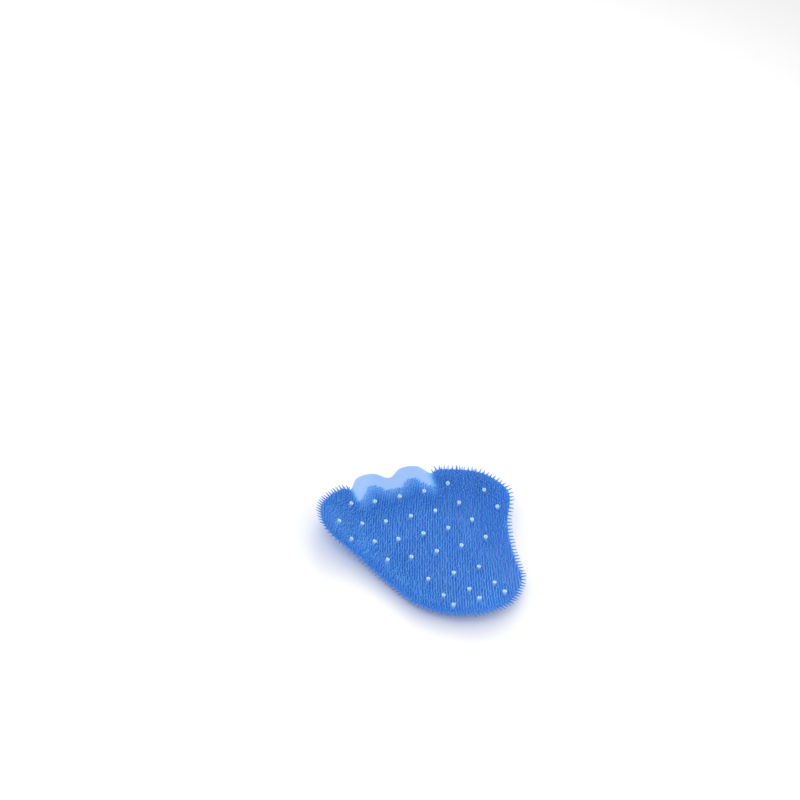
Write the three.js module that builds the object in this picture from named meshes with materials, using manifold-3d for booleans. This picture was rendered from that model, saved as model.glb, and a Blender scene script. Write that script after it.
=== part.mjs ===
// Bristled screen mat, one moulding in soft plastic: a thin dished web with a field of short bristles
// on its upper side, drain tubes that open level with the tips, and a fringe of spikes round its rim.
// Millimetres, +Z up, the wide back edge towards +Y. The origin is the middle of the flat underside.
import * as THREE from "three";
import { mergeVertices } from "three/addons/utils/BufferGeometryUtils.js";
import Module from "manifold-3d";

// Outline seen from above, right half, from the middle of the back edge round to the middle of the front
const BACK_DIP_Y = 73;
const CREST_X = 14;
const CREST_Y = 79;
const CREST_END_X = 31;
const CREST_END_Y = 77.5;
const CREST_FOOT_X = 41;
const CREST_FOOT_Y = 68.5;
const SHOULDER_X = 48.5;
const SHOULDER_Y = 69.5;
const EAR_TOP_X = 80;
const EAR_TOP_Y = 50;
const EAR_SIDE_X = 90;
const EAR_SIDE_Y = 18;
const FLANK_X = 73;
const FLANK_Y = -12;
const WAIST_X = 59.5;
const WAIST_Y = -47;
const LOBE_SIDE_X = 50.5;
const LOBE_SIDE_Y = -71.5;
const LOBE_FRONT_X = 27.5;
const LOBE_FRONT_Y = -91;
const FRONT_Y = -98.5;

// Dish: how far the rim curls up from the flat middle towards the ears, the back and the front
const FLAT_HALF_WIDTH = 22;
const FLAT_HALF_LENGTH = 22;
const SIDE_RISE = 22;
const BACK_RISE = 16;
const FRONT_RISE = 13;

const WEB_THICKNESS = 2;

// Bristles: three-sided points on a triangular pattern
const BRISTLE_HEIGHT = 4.5;
const BRISTLE_PITCH = 4;
const BRISTLE_RIM_MARGIN = 0.4;
const BRISTLE_TUBE_MARGIN = 0.3;

// Spikes that stand out from the rim, flatter than the dish there
const SPIKE_LENGTH = 4.2;
const SPIKE_RADIUS = 0.9;
const SPIKE_PITCH = 4.2;
const SPIKE_SLOPE_SHARE = 0.6;

// The two crests of the back edge are smooth tabs, with no bristles or spikes
const TAB_HALF_WIDTH = 40;
const TAB_DEPTH = 12;

// Drain tubes: one on the middle line in each row, and a number of columns either side of it
const TUBE_RADIUS = 2.2;
const BORE_RADIUS = 0.8;
const TUBE_PITCH = 25;
const FIRST_ROW_Y = -84.5;
const SECOND_ROW_Y = -69.5;
const THIRD_ROW_Y = -45;
const FOURTH_ROW_Y = -16;
const BACK_ROW_PITCH = 23;
const TUBE_ROWS = [
  { y: FIRST_ROW_Y, columns: 1 },
  { y: SECOND_ROW_Y, columns: 1 },
  { y: THIRD_ROW_Y, columns: 1 },
  { y: FOURTH_ROW_Y, columns: 2 },
  { y: FOURTH_ROW_Y + BACK_ROW_PITCH, columns: 3 },
  { y: FOURTH_ROW_Y + 2 * BACK_ROW_PITCH, columns: 3 },
  { y: FOURTH_ROW_Y + 3 * BACK_ROW_PITCH, columns: 2 },
];

// Fineness of the faces
const RIM_STEP = 4;
const UNDERSIDE_PITCH = 11;
const TUBE_SIDES = 6;
const BRISTLE_SIDES = 3;
const CLEARANCE = 3;

const wasm = await Module();
wasm.setup();

function toSolid(geometry) {
  geometry.deleteAttribute("normal");
  geometry.deleteAttribute("uv");
  const merged = mergeVertices(geometry, 1e-4);
  return new wasm.Manifold(
    new wasm.Mesh({
      numProp: 3,
      vertProperties: merged.attributes.position.array,
      triVerts: new Uint32Array(merged.index.array),
    }),
  );
}

function toGeometry(solid) {
  const mesh = solid.getMesh();
  const geometry = new THREE.BufferGeometry();
  geometry.setAttribute("position", new THREE.BufferAttribute(mesh.vertProperties, 3));
  geometry.setIndex(new THREE.BufferAttribute(mesh.triVerts, 1));
  geometry.computeVertexNormals();
  return geometry;
}

// The rim as a closed run of evenly spaced points, anticlockwise seen from above
function rimPoints() {
  const rightHalf = [
    [CREST_X, CREST_Y],
    [CREST_END_X, CREST_END_Y],
    [CREST_FOOT_X, CREST_FOOT_Y],
    [SHOULDER_X, SHOULDER_Y],
    [EAR_TOP_X, EAR_TOP_Y],
    [EAR_SIDE_X, EAR_SIDE_Y],
    [FLANK_X, FLANK_Y],
    [WAIST_X, WAIST_Y],
    [LOBE_SIDE_X, LOBE_SIDE_Y],
    [LOBE_FRONT_X, LOBE_FRONT_Y],
  ];
  const leftHalf = rightHalf.map(([x, y]) => [-x, y]);
  const loop = [[0, BACK_DIP_Y], ...leftHalf, [0, FRONT_Y], ...rightHalf.reverse()];
  const curve = new THREE.CatmullRomCurve3(
    loop.map(([x, y]) => new THREE.Vector3(x, y, 0)),
    true,
    "centripetal",
  );
  curve.arcLengthDivisions = 2000;
  const count = 2 * Math.round(curve.getLength() / RIM_STEP / 2);
  return curve.getSpacedPoints(count).slice(0, count);
}

const rim = rimPoints();
const rimEdges = rim.map((point, i) => new THREE.Line3(point, rim[(i + 1) % rim.length]));
const rimHalfWidth = Math.max(...rim.map((point) => point.x));
const rimBack = Math.max(...rim.map((point) => point.y));
const rimFront = Math.min(...rim.map((point) => point.y));

// A parabola that starts at the edge of the flat middle: its height and its slope at a distance out
function curl(distance, flat, reach, rise) {
  const out = Math.max(0, distance - flat) / (reach - flat);
  return { height: rise * out * out, slope: (2 * rise * out) / (reach - flat) };
}

// The point at a height above the underside, square to the dish, over a place in the plan
function onDish(x, y, height) {
  const side = curl(Math.abs(x), FLAT_HALF_WIDTH, rimHalfWidth, SIDE_RISE);
  const back = curl(y, FLAT_HALF_LENGTH, rimBack, BACK_RISE);
  const front = curl(-y, FLAT_HALF_LENGTH, -rimFront, FRONT_RISE);
  const normal = new THREE.Vector3(-Math.sign(x) * side.slope, front.slope - back.slope, 1).normalize();
  const foot = new THREE.Vector3(x, y, side.height + back.height + front.height);
  return { point: foot.addScaledVector(normal, height), normal };
}

// Whether a place in the plan lies inside the rim, further from it than a margin
function isWellInside(place, margin) {
  const nearest = new THREE.Vector3();
  let inside = false;
  for (const edge of rimEdges) {
    const { start, end } = edge;
    if (edge.closestPointToPoint(place, true, nearest).distanceTo(place) <= margin) return false;
    const share = (place.y - start.y) / (end.y - start.y);
    const crosses = start.y > place.y !== end.y > place.y;
    if (crosses && place.x < start.x + share * (end.x - start.x)) inside = !inside;
  }
  return inside;
}

// Whether a place in the plan lies on the smooth tabs, within their depth of the back edge
function isOnTabs(place) {
  return Math.abs(place.x) < TAB_HALF_WIDTH && place.y > 0 && !isWellInside(place, TAB_DEPTH);
}

function tubePlaces() {
  const places = [];
  for (const { y, columns } of TUBE_ROWS) {
    for (let column = -columns; column <= columns; column += 1) {
      places.push(new THREE.Vector3(column * TUBE_PITCH, y, 0));
    }
  }
  return places;
}

const tubes = tubePlaces();

// Whether a bristle on this triangle of the plan stands clear of the rim, the tabs and the drain tubes
function hasRoomForBristle(corners) {
  const foot = new THREE.Triangle(...corners);
  const nearest = new THREE.Vector3();
  const clearOfTubes = tubes.every(
    (tube) => foot.closestPointToPoint(tube, nearest).distanceTo(tube) > TUBE_RADIUS + BRISTLE_TUBE_MARGIN,
  );
  const clearOfTabs = !corners.some((corner) => isOnTabs(corner));
  return clearOfTubes && clearOfTabs && corners.every((corner) => isWellInside(corner, BRISTLE_RIM_MARGIN));
}

// A block wider than the mat, closed by a fan to one point far below. Its top is a triangular pattern
// laid on the dish at the given height, where every triangle that points back can carry a bristle.
function latticeBlock(pitch, height, bristleHeight) {
  const rowGap = (pitch * Math.sqrt(3)) / 2;
  const columns = 2 * Math.ceil(rimHalfWidth / pitch + CLEARANCE);
  const rowsBack = Math.ceil(rimBack / rowGap + CLEARANCE);
  const rowsFront = Math.ceil(-rimFront / rowGap + CLEARANCE);
  const rows = rowsBack + rowsFront;
  const positions = [];
  const indices = [];
  const addPoint = (point) => positions.push(...point.toArray()) / 3 - 1;
  const place = (row, column) => {
    const x = (column - columns / 2 + (row % 2) / 2) * pitch;
    return new THREE.Vector3(x, (row - rowsFront) * rowGap, 0);
  };
  const corner = (row, column) => row * (columns + 1) + column;
  for (let row = 0; row <= rows; row += 1) {
    for (let column = 0; column <= columns; column += 1) {
      const { x, y } = place(row, column);
      addPoint(onDish(x, y, height).point);
    }
  }
  for (let row = 0; row < rows; row += 1) {
    const shift = row % 2;
    for (let column = 0; column < columns; column += 1) {
      const left = corner(row, column);
      const right = corner(row, column + 1);
      const top = corner(row + 1, column + shift);
      const foot = [place(row, column), place(row, column + 1), place(row + 1, column + shift)];
      if (bristleHeight && hasRoomForBristle(foot)) {
        const middle = new THREE.Triangle(...foot).getMidpoint(new THREE.Vector3());
        const tip = addPoint(onDish(middle.x, middle.y, height + bristleHeight).point);
        indices.push(left, right, tip, right, top, tip, top, left, tip);
      } else {
        indices.push(left, right, top);
      }
      const lower = corner(row, column + 1 - shift);
      indices.push(lower, corner(row + 1, column + 1), corner(row + 1, column));
    }
  }
  const deep = addPoint(new THREE.Vector3(0, 0, -20 * rimHalfWidth));
  for (let column = 0; column < columns; column += 1) {
    indices.push(corner(0, column + 1), corner(0, column), deep);
    indices.push(corner(rows, column), corner(rows, column + 1), deep);
  }
  for (let row = 0; row < rows; row += 1) {
    indices.push(corner(row + 1, columns), corner(row, columns), deep);
    indices.push(corner(row, 0), corner(row + 1, 0), deep);
  }
  const geometry = new THREE.BufferGeometry();
  geometry.setAttribute("position", new THREE.Float32BufferAttribute(positions, 3));
  geometry.setIndex(indices);
  return toSolid(geometry);
}

// The outline as an upright block that takes in the whole height of the mat
function outlineBlock() {
  const shape = new THREE.Shape(rim.map((point) => new THREE.Vector2(point.x, point.y)));
  const below = CLEARANCE;
  const above = SIDE_RISE + BACK_RISE + FRONT_RISE + WEB_THICKNESS + BRISTLE_HEIGHT + CLEARANCE;
  const geometry = new THREE.ExtrudeGeometry(shape, { depth: below + above, bevelEnabled: false });
  geometry.translate(0, 0, -below);
  return toSolid(geometry);
}

// Turns a geometry that runs along +Y so that it runs along a direction, and sets it at a point
function aim(geometry, direction, point) {
  const turn = new THREE.Quaternion().setFromUnitVectors(new THREE.Vector3(0, 1, 0), direction);
  geometry.applyQuaternion(turn);
  geometry.translate(point.x, point.y, point.z);
  return toSolid(geometry);
}

// A drain tube's outside, from the middle of the web to the level of the bristle tips
function tubeWall({ x, y }) {
  const length = WEB_THICKNESS / 2 + BRISTLE_HEIGHT;
  const geometry = new THREE.CylinderGeometry(TUBE_RADIUS, TUBE_RADIUS, length, TUBE_SIDES);
  const middle = onDish(x, y, (WEB_THICKNESS + length) / 2);
  return aim(geometry, middle.normal, middle.point);
}

// What is cut away for its bore, right through the web
function tubeBore({ x, y }) {
  const length = WEB_THICKNESS + BRISTLE_HEIGHT + 2 * CLEARANCE;
  const geometry = new THREE.CylinderGeometry(BORE_RADIUS, BORE_RADIUS, length, TUBE_SIDES);
  const middle = onDish(x, y, (WEB_THICKNESS + BRISTLE_HEIGHT) / 2);
  return aim(geometry, middle.normal, middle.point);
}

// One spike: its foot is sunk in the rim and it points outwards, part of the way up the dish's slope
function rimSpike(place, next) {
  const along = next.clone().sub(place).normalize();
  const outward = new THREE.Vector3(along.y, -along.x, 0);
  const inner = place.clone().addScaledVector(outward, -SPIKE_RADIUS);
  const middle = onDish(inner.x, inner.y, WEB_THICKNESS / 2);
  const ahead = onDish(place.x, place.y, WEB_THICKNESS / 2);
  const direction = ahead.point.clone().sub(middle.point);
  direction.z *= SPIKE_SLOPE_SHARE;
  direction.normalize();
  const length = SPIKE_LENGTH + SPIKE_RADIUS;
  const geometry = new THREE.ConeGeometry(SPIKE_RADIUS, length, BRISTLE_SIDES);
  geometry.translate(0, length / 2, 0);
  return aim(geometry, direction, middle.point);
}

function rimSpikes() {
  const curve = new THREE.CatmullRomCurve3(rim, true, "centripetal");
  const count = Math.round(curve.getLength() / SPIKE_PITCH);
  const places = curve.getSpacedPoints(count);
  return places
    .slice(0, count)
    .map((place, i) => (isOnTabs(place) ? null : rimSpike(place, places[i + 1])))
    .filter(Boolean);
}

function screenMat() {
  const upper = latticeBlock(BRISTLE_PITCH, WEB_THICKNESS, BRISTLE_HEIGHT);
  const hollow = latticeBlock(UNDERSIDE_PITCH, 0, 0);
  const moulding = outlineBlock()
    .intersect(upper)
    .subtract(hollow)
    .add(wasm.Manifold.union(tubes.map(tubeWall)))
    .subtract(wasm.Manifold.union(tubes.map(tubeBore)))
    .add(wasm.Manifold.union(rimSpikes()));
  const material = new THREE.MeshStandardMaterial({ color: 0x2f74d0, roughness: 0.45, metalness: 0 });
  const mesh = new THREE.Mesh(toGeometry(moulding), material);
  mesh.name = "screen_mat";
  return mesh;
}

const part = new THREE.Group();
part.add(screenMat());

export default part;
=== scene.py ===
import math
import random

import bpy
import numpy as np
from mathutils import Matrix, Vector


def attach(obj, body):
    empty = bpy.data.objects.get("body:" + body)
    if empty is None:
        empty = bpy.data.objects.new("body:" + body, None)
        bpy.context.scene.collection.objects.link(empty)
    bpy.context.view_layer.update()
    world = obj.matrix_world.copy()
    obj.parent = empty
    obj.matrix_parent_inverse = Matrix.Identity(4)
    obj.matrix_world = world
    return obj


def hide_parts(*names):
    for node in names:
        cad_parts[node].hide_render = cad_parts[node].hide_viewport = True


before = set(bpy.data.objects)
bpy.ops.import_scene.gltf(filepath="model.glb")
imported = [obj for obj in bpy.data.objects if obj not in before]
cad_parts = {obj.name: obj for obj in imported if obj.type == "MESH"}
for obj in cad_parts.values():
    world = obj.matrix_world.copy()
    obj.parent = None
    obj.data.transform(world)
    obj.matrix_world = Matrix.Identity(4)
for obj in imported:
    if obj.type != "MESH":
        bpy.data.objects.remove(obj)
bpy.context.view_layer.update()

# Driving dimensions in metres
MM = 0.001

# Outline seen from above, right half, from the middle of the back edge round to the middle of the front
BACK_DIP = (0, 73 * MM)
RIGHT_HALF = [
    (14 * MM, 79 * MM),  # crest
    (31 * MM, 77.5 * MM),  # end of the crest
    (41 * MM, 68.5 * MM),  # foot of the crest
    (48.5 * MM, 69.5 * MM),  # shoulder
    (80 * MM, 50 * MM),  # top of the ear
    (90 * MM, 18 * MM),  # side of the ear
    (73 * MM, -12 * MM),  # flank
    (59.5 * MM, -47 * MM),  # waist
    (50.5 * MM, -71.5 * MM),  # side of the front lobe
    (27.5 * MM, -91 * MM),  # front of the lobe
]
FRONT = (0, -98.5 * MM)

# Dish: how far the rim curls up from the flat middle towards the ears, the back and the front
FLAT_HALF = 22 * MM
SIDE_RISE = 22 * MM
BACK_RISE = 16 * MM
FRONT_RISE = 13 * MM

# Web
WEB_THICKNESS = 2 * MM
RIM_BEVEL = 0.6 * MM
RIM_THINNING = 0.5
RIM_THINNING_REACH = 4 * MM
RIM_POINTS = 240
WEB_RINGS = 22
INNER_RING_SHARE = 0.03
CURVE_STEPS = 60
SHARP_CORNER = 1
SMOOTH_ANGLE = math.radians(50)

# The two crests of the back edge are smooth tabs, with no bristles or spikes
TAB_HALF_WIDTH = 40 * MM
TAB_DEPTH = 12 * MM

# Drain tubes: one on the middle line in each row, and a number of columns either side of it
TUBE_RADIUS = 1.8 * MM
BORE_RADIUS = 0.7 * MM
TUBE_LIP_BEVEL = 0.2 * MM
TUBE_LIP_STEP = 0.2 * MM
TUBE_SUNK = 1.8 * MM
TUBE_SIDES = 14
TUBE_PITCH = 25 * MM
TUBE_ROWS = [
    (-84.5 * MM, 1),
    (-69.5 * MM, 1),
    (-45 * MM, 1),
    (-16 * MM, 2),
    (7 * MM, 3),
    (30 * MM, 3),
    (53 * MM, 2),
]
DRILL_RADIUS = 1.2 * MM

# Bristles
BRISTLE_PITCH = 2.5 * MM
BRISTLE_ROW_GAP = BRISTLE_PITCH * math.sqrt(3) / 2
BRISTLE_LENGTH = 4.5 * MM
BRISTLE_FOOT_RADIUS = 0.8 * MM
BRISTLE_SHAFT_RADIUS = 0.55 * MM
BRISTLE_TIP_RADIUS = 0.26 * MM
BRISTLE_SUNK = 0.3 * MM
BRISTLE_SIDES = 5
BRISTLE_RIM_MARGIN = 0.7 * MM
BRISTLE_TUBE_MARGIN = 0.6 * MM
BRISTLE_LEAN = 0.11
BRISTLE_SPLAY = 0.4
BRISTLE_SHORTEST = 0.86
BRISTLE_LONGEST = 1.06
SPLAY_REACH = 8 * MM
RIM_LENGTH_SHARE = 0.65

# Where a bristle or spike narrows to its shaft, and how round its tip is
SHAFT_START_SHARE = 0.3
TIP_ROUNDNESS = 0.6

# Spikes that stand out from the rim, flatter than the dish there
SPIKE_LENGTH = 4.2 * MM
SPIKE_FOOT_RADIUS = 0.85 * MM
SPIKE_SHAFT_RADIUS = 0.6 * MM
SPIKE_TIP_RADIUS = 0.25 * MM
SPIKE_SUNK = 0.9 * MM
SPIKE_LEVEL = 1.4 * MM
SPIKE_PITCH = 3.8 * MM
SPIKE_SIDES = 6
SPIKE_SLOPE_SHARE = 0.6
SPIKE_STRAY = 0.07 * MM
SPIKE_SMALLEST = 0.88
SPIKE_LARGEST = 1.06

# How pale the colour is painted, from 0 to 1. On the bristles it is painted light and shade: darker at
# their feet, where shade falls between them, and paler towards their tips. On the drain tubes it is a
# painted highlight on their lips, fading to painted shade down their bores. The tabs are painted a plain
# paler blue.
BRISTLE_TIP_PAINTED_LIGHT = 0.6
TAB_PALENESS = 0.8
TAB_FADE_START = 11 * MM
TAB_FADE_REACH = 25 * MM
TAB_SIDE_FADE = 3 * MM
TUBE_FOOT_PAINTED_LIGHT = 0.4
TUBE_LIP_PAINTED_HIGHLIGHT = 1
SPIKE_PALENESS = 0

# Blues along that paleness: the plastic's own deep blue, the painted light of the bristle tips, the tabs'
# paler blue, and the painted highlight of the drain tube lips
DEEP_BLUE = (0.034, 0.215, 0.700, 1)
BRISTLE_TIP_PAINTED_LIGHT_BLUE = (0.165, 0.480, 0.930, 1)
TAB_BLUE = (0.320, 0.510, 0.860, 1)
PAINTED_HIGHLIGHT_BLUE = (0.460, 0.740, 1.000, 1)

# Pattern and shine of the plastic: patterns by their repeats in a metre
CLOUD_REPEATS = 38
CLOUD_TINT = 0.12
GRAIN_REPEATS = 900
SMOOTHEST = 0.24
ROUGHEST = 0.44
GRAIN_DEPTH = 0.2 * MM
LIGHT_REACH = 2 * MM

# The sky's strength where it lights the mat, and where the camera sees it
SKY_LIGHT = 0.85
SKY_SEEN = 1

# The floor lies this far below the mat, so that their faces don't fight
FLOOR_GAP = 0.05 * MM

# Camera: the place in the photograph's frame where the middle of the flat underside falls
IMAGE_SIDE = 800
SENSOR_WIDTH = 36.0
LENS = 68.68
VIEW_AZIMUTH = math.radians(-39.85)
VIEW_ELEVATION = math.radians(40.38)
VIEW_ROLL = math.radians(15.55)
VIEW_DISTANCE = 1.3
MIDDLE_PIXEL = (426, 543.8)


def deselect_all():
    bpy.ops.object.select_all(action="DESELECT")


def make_active(piece):
    deselect_all()
    piece.select_set(True)
    bpy.context.view_layer.objects.active = piece


def select_points(piece, wanted):
    """Opens a piece in edit mode with only the wanted points selected."""
    make_active(piece)
    bpy.ops.object.mode_set(mode="EDIT")
    bpy.ops.mesh.select_mode(type="VERT")
    bpy.ops.mesh.select_all(action="DESELECT")
    bpy.ops.object.mode_set(mode="OBJECT")
    piece.data.vertices.foreach_set("select", wanted)
    bpy.ops.object.mode_set(mode="EDIT")


def apply_modifier(piece, kind, **settings):
    """Adds one modifier with these settings and applies it."""
    make_active(piece)
    modifier = piece.modifiers.new(kind.lower(), kind)
    for name, value in settings.items():
        setattr(modifier, name, value)
    bpy.ops.object.modifier_apply(modifier=modifier.name)


def join(pieces):
    """Joins pieces into the first one."""
    deselect_all()
    for piece in pieces:
        piece.select_set(True)
    bpy.context.view_layer.objects.active = pieces[0]
    bpy.ops.object.join()
    return pieces[0]


def copy_at(piece, place):
    """A copy of a piece with its own mesh, moved by its matrix to its place."""
    copy = piece.copy()
    copy.data = piece.data.copy()
    copy.data.transform(place)
    bpy.context.scene.collection.objects.link(copy)
    return copy


def read_points(piece):
    points = np.empty(len(piece.data.vertices) * 3)
    piece.data.vertices.foreach_get("co", points)
    return points.reshape(-1, 3)


def write_points(piece, points):
    piece.data.vertices.foreach_set("co", points.ravel())
    piece.data.update()


def outline_loop():
    """The outline's shape points as a closed run, anticlockwise seen from above."""
    left_half = [(-x, y) for x, y in RIGHT_HALF]
    return np.array([BACK_DIP, *left_half, FRONT, *RIGHT_HALF[::-1]])


def smooth_stretch(before, start, end, after):
    """Points of the smooth curve from start towards end, whose bends follow the spacing of the points."""
    first, second, third = (
        math.sqrt(np.linalg.norm(b - a)) for a, b in ((before, start), (start, end), (end, after))
    )
    leave = (start - before) / first - (end - before) / (first + second) + (end - start) / second
    reach = (end - start) / second - (after - start) / (second + third) + (after - end) / third
    leave, reach = leave * second, reach * second
    t = np.linspace(0, 1, CURVE_STEPS, endpoint=False)[:, None]
    cubic = 2 * start - 2 * end + leave + reach
    square = -3 * start + 3 * end - 2 * leave - reach
    return start + leave * t + square * t**2 + cubic * t**3


def outline_curve():
    loop = outline_loop()
    around = len(loop)
    stretches = [
        smooth_stretch(loop[i - 1], loop[i], loop[(i + 1) % around], loop[(i + 2) % around])
        for i in range(around)
    ]
    return np.vstack(stretches)


def run_length(points):
    """The length of a closed run of points."""
    return np.hypot(*(np.roll(points, -1, axis=0) - points).T).sum()


def evenly_spaced(points, count):
    """A closed run of points at equal distances along another."""
    closed = np.vstack([points, points[:1]])
    along = np.r_[0, np.cumsum(np.hypot(*np.diff(closed, axis=0).T))]
    stops = np.linspace(0, along[-1], count, endpoint=False)
    return np.c_[np.interp(stops, along, closed[:, 0]), np.interp(stops, along, closed[:, 1])]


def outward_ways(run):
    """The unit way out of a closed anticlockwise run, at each of its points."""
    along = np.roll(run, -1, axis=0) - np.roll(run, 1, axis=0)
    return np.c_[along[:, 1], -along[:, 0]] / np.hypot(*along.T)[:, None]


OUTLINE = outline_curve()
HALF_WIDTH = OUTLINE[:, 0].max()
BACK = OUTLINE[:, 1].max()
FRONT_REACH = -OUTLINE[:, 1].min()


def curl(out, reach, rise):
    """Height and slope of the dish at a distance out from its middle: a parabola past the flat part."""
    share = np.maximum(0, out - FLAT_HALF) / (reach - FLAT_HALF)
    return rise * share**2, 2 * rise * share / (reach - FLAT_HALF)


def curl_length(out, reach, rise):
    """How long the sheet is from the middle of the dish to a distance out, along its curve."""
    _, slope = curl(out, reach, rise)
    bend = 2 * rise / (reach - FLAT_HALF) ** 2
    curved = (slope * np.sqrt(1 + slope**2) + np.arcsinh(slope)) / (2 * bend)
    return np.minimum(out, FLAT_HALF) + curved


def flatten(plan):
    """Where places in the plan of the dish lie on the flat sheet that it is curled from."""
    x, y = plan.T
    across = np.sign(x) * curl_length(np.abs(x), HALF_WIDTH, SIDE_RISE)
    back = curl_length(np.maximum(0, y), BACK, BACK_RISE)
    front = curl_length(np.maximum(0, -y), FRONT_REACH, FRONT_RISE)
    return np.c_[across, back - front]


def uncurled(length, reach, rise):
    """The distance out from the middle of the dish at a length along its curve."""
    out = np.linspace(0, 1.3 * reach, 3000)
    return np.interp(length, curl_length(out, reach, rise), out)


def plan_of(sheet):
    """The opposite of flatten."""
    across, up = sheet.T
    x = np.sign(across) * uncurled(np.abs(across), HALF_WIDTH, SIDE_RISE)
    back = uncurled(np.maximum(0, up), BACK, BACK_RISE)
    front = uncurled(np.maximum(0, -up), FRONT_REACH, FRONT_RISE)
    return np.c_[x, back - front]


def on_dish(points):
    """Curls points of the flat sheet onto the dish: their height stays square to its underside."""
    x, y = plan_of(points[:, :2]).T
    side, side_slope = curl(np.abs(x), HALF_WIDTH, SIDE_RISE)
    back, back_slope = curl(y, BACK, BACK_RISE)
    front, front_slope = curl(-y, FRONT_REACH, FRONT_RISE)
    normal = np.c_[-np.sign(x) * side_slope, front_slope - back_slope, np.ones(len(x))]
    normal /= np.linalg.norm(normal, axis=1, keepdims=True)
    return np.c_[x, y, side + back + front] + points[:, 2:] * normal


RIM = evenly_spaced(flatten(OUTLINE), RIM_POINTS)


def rim_distance(places):
    """How far places on the sheet lie inside the rim, below zero outside it, and the nearest way out."""
    offset = places[:, None] - RIM[None]
    nearest = np.hypot(offset[..., 0], offset[..., 1]).argmin(axis=1)
    way_out = outward_ways(RIM)[nearest]
    reach = offset[np.arange(len(places)), nearest]
    return -(reach * way_out).sum(axis=1), way_out


def on_tabs(places):
    """Whether places on the sheet lie on the tabs, within their depth of the back edge."""
    x, y = plan_of(places).T
    inside, _ = rim_distance(places)
    return (np.abs(x) < TAB_HALF_WIDTH) & (y > 0) & (inside < TAB_DEPTH)


def tube_places():
    """The middles of the drain tubes on the sheet."""
    places = [(i * TUBE_PITCH, y) for y, columns in TUBE_ROWS for i in range(-columns, columns + 1)]
    return flatten(np.array(places))


TUBES = tube_places()


def make_web():
    """The flat web: a circle drawn out to the rim, filled ring by ring, thickened, rounded and drilled."""
    deselect_all()
    bpy.ops.mesh.primitive_circle_add(vertices=RIM_POINTS, radius=HALF_WIDTH, location=(0, 0, 0))
    web = bpy.context.object
    web.name = "web"
    write_points(web, np.c_[RIM, np.zeros(RIM_POINTS)])
    bpy.ops.object.mode_set(mode="EDIT")
    bpy.ops.mesh.select_all(action="SELECT")
    shares = np.linspace(1, INNER_RING_SHARE, WEB_RINGS + 1)
    for wider, narrower in zip(shares, shares[1:]):
        share = narrower / wider
        bpy.ops.mesh.extrude_edges_move()
        bpy.ops.transform.resize(value=(share, share, 1), center_override=(0, 0, 0))
    bpy.ops.mesh.edge_face_add()
    bpy.ops.mesh.select_all(action="SELECT")
    bpy.ops.mesh.normals_make_consistent(inside=False)
    bpy.ops.object.mode_set(mode="OBJECT")
    if web.data.polygons[0].normal.z < 0:
        web.data.flip_normals()
    apply_modifier(web, "SOLIDIFY", thickness=WEB_THICKNESS, offset=1)
    write_points(web, thin_out_rim(read_points(web)))
    apply_modifier(
        web, "BEVEL", width=RIM_BEVEL, segments=3, limit_method="ANGLE", angle_limit=SHARP_CORNER
    )
    drills = make_drills()
    apply_modifier(web, "BOOLEAN", object=drills, operation="DIFFERENCE", solver="EXACT")
    bpy.data.objects.remove(drills)
    return web


def thin_out_rim(points):
    """Raises the underside of the web towards the rim."""
    inside, _ = rim_distance(points[:, :2])
    thinning = RIM_THINNING * np.clip(1 - inside / RIM_THINNING_REACH, 0, 1)
    points[:, 2] = WEB_THICKNESS - (WEB_THICKNESS - points[:, 2]) * (1 - thinning)
    return points


def make_drills():
    """One cylinder for each drain tube, a little wider than its bore."""
    deselect_all()
    bpy.ops.mesh.primitive_cylinder_add(
        vertices=TUBE_SIDES, radius=DRILL_RADIUS, depth=3 * WEB_THICKNESS, location=(0, 0, 0)
    )
    drill = bpy.context.object
    drills = [copy_at(drill, Matrix.Translation((x, y, 0))) for x, y in TUBES]
    bpy.data.objects.remove(drill)
    return join(drills)


def make_tubes():
    """The drain tubes: one modelled as a thick ring with rounded lips, and copied to each place."""
    deselect_all()
    top = WEB_THICKNESS + BRISTLE_LENGTH + TUBE_LIP_STEP
    foot = WEB_THICKNESS - TUBE_SUNK
    bpy.ops.mesh.primitive_cylinder_add(
        vertices=TUBE_SIDES, radius=TUBE_RADIUS, depth=top - foot,
        location=(0, 0, (top + foot) / 2), end_fill_type="NOTHING",
    )
    tube = bpy.context.object
    bpy.ops.object.transform_apply(location=True, rotation=True, scale=True)
    apply_modifier(tube, "SOLIDIFY", thickness=TUBE_RADIUS - BORE_RADIUS, offset=-1)
    apply_modifier(
        tube, "BEVEL", width=TUBE_LIP_BEVEL, segments=2, limit_method="ANGLE", angle_limit=SHARP_CORNER
    )
    tubes = [copy_at(tube, Matrix.Translation((x, y, 0))) for x, y in TUBES]
    bpy.data.objects.remove(tube)
    return join(tubes)


def make_spine(length, foot_radius, shaft_radius, tip_radius, sunk, sides):
    """One bristle or spike on the origin: a cone with a flared foot and a rounded tip."""
    deselect_all()
    bpy.ops.mesh.primitive_cone_add(
        vertices=sides, radius1=foot_radius, radius2=tip_radius,
        depth=length + sunk, location=(0, 0, (length - sunk) / 2),
    )
    spine = bpy.context.object
    bpy.ops.object.transform_apply(location=True, rotation=True, scale=True)
    bpy.ops.object.mode_set(mode="EDIT")
    bpy.ops.mesh.select_all(action="SELECT")
    waist = SHAFT_START_SHARE * length
    bpy.ops.mesh.bisect(plane_co=(0, 0, waist), plane_no=(0, 0, 1))
    at_waist = foot_radius + (tip_radius - foot_radius) * (waist + sunk) / (length + sunk)
    bpy.ops.transform.resize(value=(shaft_radius / at_waist, shaft_radius / at_waist, 1))
    bpy.ops.object.mode_set(mode="OBJECT")
    select_points(spine, [point.co.z > 0.9 * length for point in spine.data.vertices])
    bpy.ops.mesh.poke(offset=TIP_ROUNDNESS * tip_radius)
    bpy.ops.object.mode_set(mode="OBJECT")
    return spine


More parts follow.
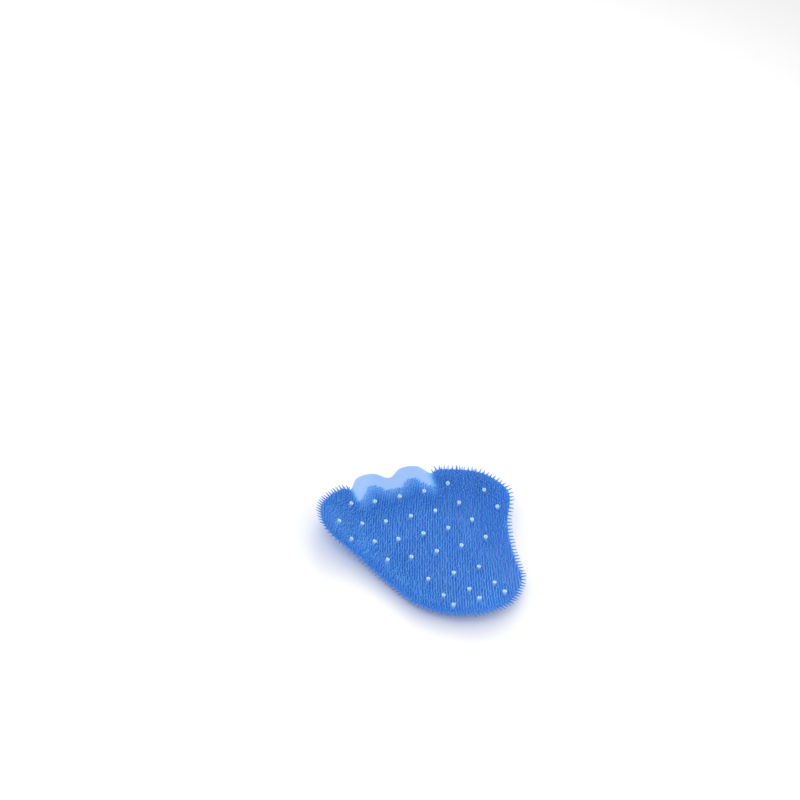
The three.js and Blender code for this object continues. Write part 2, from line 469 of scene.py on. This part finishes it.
def make_bristle_rows(first_x, first_y, across, up):
    """A bristle repeated along a row, and the row repeated up the sheet, two row gaps apart."""
    rows = make_spine(
        BRISTLE_LENGTH, BRISTLE_FOOT_RADIUS, BRISTLE_SHAFT_RADIUS,
        BRISTLE_TIP_RADIUS, BRISTLE_SUNK, BRISTLE_SIDES,
    )
    points = len(rows.data.vertices)
    step = {"use_relative_offset": False, "use_constant_offset": True}
    apply_modifier(rows, "ARRAY", count=across, constant_offset_displace=(BRISTLE_PITCH, 0, 0), **step)
    apply_modifier(rows, "ARRAY", count=up, constant_offset_displace=(0, 2 * BRISTLE_ROW_GAP, 0), **step)
    write_points(rows, read_points(rows) + (first_x, first_y, WEB_THICKNESS))
    return rows, points


def lean_bristles(places, each):
    """Bends each bristle a little its own way, and outwards and shorter where it stands near the rim."""
    draw = random.Random(11)
    inside, way_out = rim_distance(places)
    near_rim = np.clip(1 - inside / SPLAY_REACH, 0, 1)
    own_way = np.array([(draw.gauss(0, 1), draw.gauss(0, 1)) for _ in places]) * BRISTLE_LEAN
    lean = own_way + way_out * (near_rim**2 * BRISTLE_SPLAY)[:, None]
    length = np.array([draw.uniform(BRISTLE_SHORTEST, BRISTLE_LONGEST) for _ in places])
    length *= 1 - (1 - RIM_LENGTH_SHARE) * near_rim
    height = np.maximum(0, each[..., 2] - WEB_THICKNESS)
    each[..., :2] += lean[:, None] * (height**2 / BRISTLE_LENGTH)[..., None]
    each[..., 2] = np.where(height > 0, WEB_THICKNESS + height * length[:, None], each[..., 2])
    return each


def make_bristles():
    """The field of bristles: two sets of rows, trimmed to the rim, the tabs and the drain tubes."""
    sheet = np.ptp(RIM, axis=0)
    across = math.ceil(sheet[0] / BRISTLE_PITCH) + 1
    up = math.ceil(sheet[1] / BRISTLE_ROW_GAP / 2) + 1
    left = -(across // 2) * BRISTLE_PITCH
    front = math.floor(RIM[:, 1].min() / BRISTLE_ROW_GAP) * BRISTLE_ROW_GAP
    even, points = make_bristle_rows(left, front, across, up)
    odd, _ = make_bristle_rows(left + BRISTLE_PITCH / 2, front + BRISTLE_ROW_GAP, across, up)
    bristles = join([even, odd])
    places = read_points(bristles).reshape(-1, points, 3)[..., :2].mean(axis=1)
    inside, _ = rim_distance(places)
    to_tubes = np.hypot(*(places[:, None] - TUBES[None]).transpose(2, 0, 1)).min(axis=1)
    stays = (inside > BRISTLE_RIM_MARGIN) & (to_tubes > TUBE_RADIUS + BRISTLE_TUBE_MARGIN)
    stays &= ~on_tabs(places)
    select_points(bristles, np.repeat(~stays, points))
    bpy.ops.mesh.delete(type="VERT")
    bpy.ops.object.mode_set(mode="OBJECT")
    each = read_points(bristles).reshape(-1, points, 3)
    write_points(bristles, lean_bristles(each[..., :2].mean(axis=1), each))
    return bristles


def make_spikes():
    """The spikes of the rim: one modelled, and copied to stand out at each place on the curled rim."""
    spike = make_spine(
        SPIKE_LENGTH, SPIKE_FOOT_RADIUS, SPIKE_SHAFT_RADIUS, SPIKE_TIP_RADIUS, SPIKE_SUNK, SPIKE_SIDES
    )
    places = evenly_spaced(RIM, round(run_length(RIM) / SPIKE_PITCH))
    middle = np.full(len(places), SPIKE_LEVEL)
    feet = on_dish(np.c_[places, middle])
    ahead = on_dish(np.c_[places + outward_ways(places) * MM, middle])
    ways = (ahead - feet) * (1, 1, SPIKE_SLOPE_SHARE)
    bare = on_tabs(places)
    draw = random.Random(5)
    spikes = []
    for foot, way in zip(feet[~bare], ways[~bare]):
        stray = Vector((draw.gauss(0, 1), draw.gauss(0, 1), draw.gauss(0, 1))) * SPIKE_STRAY
        turn = (Vector(way) + stray).to_track_quat("Z", "Y").to_matrix().to_4x4()
        size = Matrix.Scale(draw.uniform(SPIKE_SMALLEST, SPIKE_LARGEST), 4)
        spikes.append(copy_at(spike, Matrix.Translation(foot) @ turn @ size))
    bpy.data.objects.remove(spike)
    return join(spikes)


def mark_paleness_and_painted_light(piece, values):
    """Stores how pale the colour is painted at each point: painted light and shade on the bristles and
    drain tubes, and a plain paler blue on the tabs.
    """
    paleness_and_painted_light = piece.data.attributes.new("paleness_and_painted_light", "FLOAT", "POINT")
    paleness_and_painted_light.data.foreach_set("value", values.astype(np.float32))


def height_share(points):
    """How far up the bristles each point lies, from 0 at their feet to 1 at their tips."""
    return np.clip((points[:, 2] - WEB_THICKNESS) / BRISTLE_LENGTH, 0, 1)


def near_tabs(points):
    """How close points are to the tabs, from 1 on them to 0 where their paleness has faded out."""
    x, y = plan_of(points[:, :2]).T
    inside, _ = rim_distance(points[:, :2])
    depth = np.clip((TAB_FADE_REACH - inside) / (TAB_FADE_REACH - TAB_FADE_START), 0, 1) * (y > 0)
    width = np.clip((TAB_HALF_WIDTH + TAB_SIDE_FADE - np.abs(x)) / (2 * TAB_SIDE_FADE), 0, 1)
    return depth * width


def paler_near_tabs(points, paleness_and_painted_light):
    """Draws a paleness towards that of the tabs."""
    return paleness_and_painted_light + (TAB_PALENESS - paleness_and_painted_light) * near_tabs(points)


def noise(nodes, links, coordinates, scale, detail):
    texture = nodes.new("ShaderNodeTexNoise")
    texture.inputs["Scale"].default_value = scale
    texture.inputs["Detail"].default_value = detail
    links.new(coordinates.outputs["Object"], texture.inputs["Vector"])
    return texture


def spread(nodes, links, source, lowest, highest):
    """A value from 0 to 1 spread from lowest to highest."""
    limits = nodes.new("ShaderNodeMapRange")
    limits.inputs["To Min"].default_value = lowest
    limits.inputs["To Max"].default_value = highest
    links.new(source, limits.inputs["Value"])
    return limits.outputs["Result"]


def soft_plastic():
    """Glossy royal blue plastic, a little translucent, with light and shade painted into its colour:
    darker at the feet of the bristles and drain tubes, paler towards the bristle tips, a painted highlight
    on the tube lips, and a paler blue on the tabs.
    """
    material = bpy.data.materials.new("soft_plastic_royal_blue")
    material.use_nodes = True
    nodes, links = material.node_tree.nodes, material.node_tree.links
    shader = nodes["Principled BSDF"]
    coordinates = nodes.new("ShaderNodeTexCoord")
    paleness_and_painted_light = nodes.new("ShaderNodeAttribute")
    paleness_and_painted_light.attribute_name = "paleness_and_painted_light"
    # This colour ramp paints light and shade: deep blue where nothing is painted, painted light at the
    # bristle tips, the tabs' paler blue, and a painted highlight at the tube lips
    depth = nodes.new("ShaderNodeValToRGB")
    depth.color_ramp.elements[0].color = DEEP_BLUE
    depth.color_ramp.elements[1].color = PAINTED_HIGHLIGHT_BLUE
    depth.color_ramp.elements.new(BRISTLE_TIP_PAINTED_LIGHT).color = BRISTLE_TIP_PAINTED_LIGHT_BLUE
    depth.color_ramp.elements.new(TAB_PALENESS).color = TAB_BLUE
    links.new(paleness_and_painted_light.outputs["Fac"], depth.inputs["Fac"])
    clouds = noise(nodes, links, coordinates, CLOUD_REPEATS, 3)
    tint = nodes.new("ShaderNodeMix")
    tint.data_type = "RGBA"
    tint.blend_type = "MULTIPLY"
    tint.inputs["Factor"].default_value = 1
    links.new(depth.outputs["Color"], tint.inputs["A"])
    clouded = spread(nodes, links, clouds.outputs["Fac"], 1 - CLOUD_TINT, 1 + CLOUD_TINT)
    links.new(clouded, tint.inputs["B"])
    links.new(tint.outputs["Result"], shader.inputs["Base Color"])
    grain = noise(nodes, links, coordinates, GRAIN_REPEATS, 2)
    links.new(spread(nodes, links, grain.outputs["Fac"], SMOOTHEST, ROUGHEST), shader.inputs["Roughness"])
    bump = nodes.new("ShaderNodeBump")
    bump.inputs["Strength"].default_value = 0.12
    bump.inputs["Distance"].default_value = GRAIN_DEPTH
    links.new(grain.outputs["Fac"], bump.inputs["Height"])
    links.new(bump.outputs["Normal"], shader.inputs["Normal"])
    shader.inputs["Subsurface Weight"].default_value = 0.25
    shader.inputs["Subsurface Radius"].default_value = (0.3, 0.6, 1.0)
    shader.inputs["Subsurface Scale"].default_value = LIGHT_REACH
    shader.inputs["IOR"].default_value = 1.48
    return material


def make_mat():
    """The whole moulding: web, tubes and bristles modelled flat and curled onto the dish, then spiked."""
    web, tubes, bristles = make_web(), make_tubes(), make_bristles()
    mark_paleness_and_painted_light(web, paler_near_tabs(read_points(web), 0))
    # Painted light on the drain tubes: paler up to a painted highlight on their lips, and darker down
    # their bores, where shade falls
    up_tube = height_share(read_points(tubes))
    mark_paleness_and_painted_light(tubes, TUBE_FOOT_PAINTED_LIGHT + (TUBE_LIP_PAINTED_HIGHLIGHT - TUBE_FOOT_PAINTED_LIGHT) * up_tube)
    # Painted light on the bristles: darker at their feet, where shade falls between them, and paler
    # towards their tips
    up_bristle = height_share(read_points(bristles))
    mark_paleness_and_painted_light(bristles, paler_near_tabs(read_points(bristles), up_bristle * BRISTLE_TIP_PAINTED_LIGHT))
    for piece in (web, tubes, bristles):
        write_points(piece, on_dish(read_points(piece)))
    spikes = make_spikes()
    mark_paleness_and_painted_light(spikes, np.full(len(spikes.data.vertices), SPIKE_PALENESS))
    mat = join([web, tubes, bristles, spikes])
    mat.name = "screen_mat_moulding"
    make_active(mat)
    bpy.ops.object.shade_smooth_by_angle(angle=SMOOTH_ANGLE)
    mat.data.materials.clear()
    mat.data.materials.append(soft_plastic())
    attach(mat, "root")
    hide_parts("screen_mat")


def make_floor():
    """A plain pale floor that keeps the mat's shadow."""
    deselect_all()
    bpy.ops.mesh.primitive_plane_add(size=12, location=(0, 0, -FLOOR_GAP))
    floor = bpy.context.object
    floor.name = "floor"
    material = bpy.data.materials.new("pale_floor")
    material.use_nodes = True
    shader = material.node_tree.nodes["Principled BSDF"]
    shader.inputs["Base Color"].default_value = (0.94, 0.94, 0.94, 1)
    shader.inputs["Roughness"].default_value = 0.9
    shader.inputs["Specular IOR Level"].default_value = 0.1
    floor.data.materials.append(material)


def make_sky():
    """An even pale sky, which looks white to the camera and in gloss."""
    world = bpy.data.worlds.new("pale_sky")
    bpy.context.scene.world = world
    world.use_nodes = True
    nodes, links = world.node_tree.nodes, world.node_tree.links
    background = nodes["Background"]
    background.inputs["Color"].default_value = (1, 1, 1, 1)
    path = nodes.new("ShaderNodeLightPath")
    seen = path.outputs["Is Camera Ray"]
    for way in ("Is Glossy Ray", "Is Transmission Ray"):
        either = nodes.new("ShaderNodeMath")
        either.operation = "MAXIMUM"
        links.new(seen, either.inputs[0])
        links.new(path.outputs[way], either.inputs[1])
        seen = either.outputs[0]
    links.new(spread(nodes, links, seen, SKY_LIGHT, SKY_SEEN), background.inputs["Strength"])


def make_lamps():
    """A broad key lamp from the left and a weaker one from behind."""
    lamps = (("key", (-0.9, -0.5, 1.3), 0.9, 7), ("back", (0.6, 0.9, 1.0), 0.7, 4))
    for name, place, size, power in lamps:
        data = bpy.data.lights.new(name, "AREA")
        data.size = size
        data.energy = power
        lamp = bpy.data.objects.new(name, data)
        lamp.location = place
        lamp.rotation_euler = Vector(place).to_track_quat("Z", "Y").to_euler()
        bpy.context.scene.collection.objects.link(lamp)


def make_camera():
    """Stands the camera at the photograph's viewing angle, with no lens shift."""
    back = Vector((
        math.sin(VIEW_AZIMUTH) * math.cos(VIEW_ELEVATION),
        -math.cos(VIEW_AZIMUTH) * math.cos(VIEW_ELEVATION),
        math.sin(VIEW_ELEVATION),
    ))
    right = Vector((0, 0, 1)).cross(back).normalized()
    up = back.cross(right)
    rolled_right = math.cos(VIEW_ROLL) * right + math.sin(VIEW_ROLL) * up
    rolled_up = math.cos(VIEW_ROLL) * up - math.sin(VIEW_ROLL) * right
    straight = Matrix((rolled_right, rolled_up, back)).transposed()
    focal = LENS * IMAGE_SIDE / SENSOR_WIDTH
    across = (MIDDLE_PIXEL[0] - IMAGE_SIDE / 2) / focal
    down = (MIDDLE_PIXEL[1] - IMAGE_SIDE / 2) / focal
    ray = straight @ Vector((across, -down, -1)).normalized()
    turn = ray.rotation_difference(-back).to_matrix()
    data = bpy.data.cameras.new("camera")
    data.lens = LENS
    data.sensor_width = SENSOR_WIDTH
    camera = bpy.data.objects.new("camera", data)
    camera.matrix_world = Matrix.Translation(back * VIEW_DISTANCE) @ (turn @ straight).to_4x4()
    bpy.context.scene.collection.objects.link(camera)
    bpy.context.scene.camera = camera


make_mat()
make_floor()
make_sky()
make_lamps()
make_camera()
bpy.context.scene.view_settings.view_transform = "Standard"
